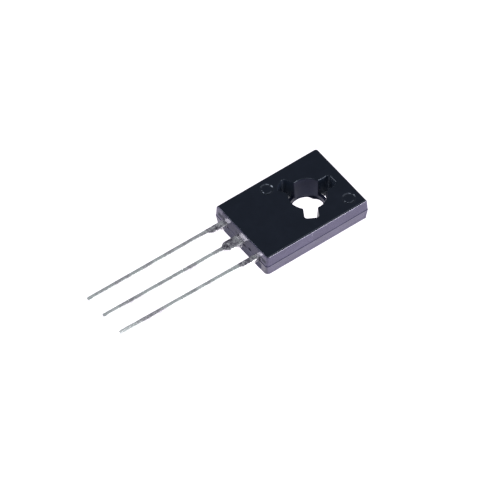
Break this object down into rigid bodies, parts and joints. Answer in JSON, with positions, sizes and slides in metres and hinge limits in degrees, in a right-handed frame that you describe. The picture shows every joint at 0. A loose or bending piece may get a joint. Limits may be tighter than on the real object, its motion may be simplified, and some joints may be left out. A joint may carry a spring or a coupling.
{
  "type": "darlington transistor",
  "caption": "Flat-tab moulded power transistor with a notched screw hole, a metal plate flush with its back and straight in-line leads.",
  "frame": {"origin": "on the screw hole's axis, in the plane of the metal back", "axes": "+X from the lead end to the hole end (the leads point along -X), +Y across the body towards the emitter lead, +Z out of the moulded front face"},
  "size_m": [0.0259, 0.0076, 0.0025],
  "materials": {
    "epoxy": "satin moulded",
    "tinned_copper": "bright dipped tin, slightly dull",
    "silicon": "polished",
    "solder": "dull",
    "bond_aluminium": "drawn"
  },
  "bodies": {
    "root": {"epoxy_body": "epoxy", "collector_frame": "tinned_copper", "emitter_lead": "tinned_copper", "base_lead": "tinned_copper", "darlington_die": "silicon", "die_attach_solder": "solder", "emitter_bond_wire": "bond_aluminium", "base_bond_wire": "bond_aluminium"}
  },
  "joints": []
}
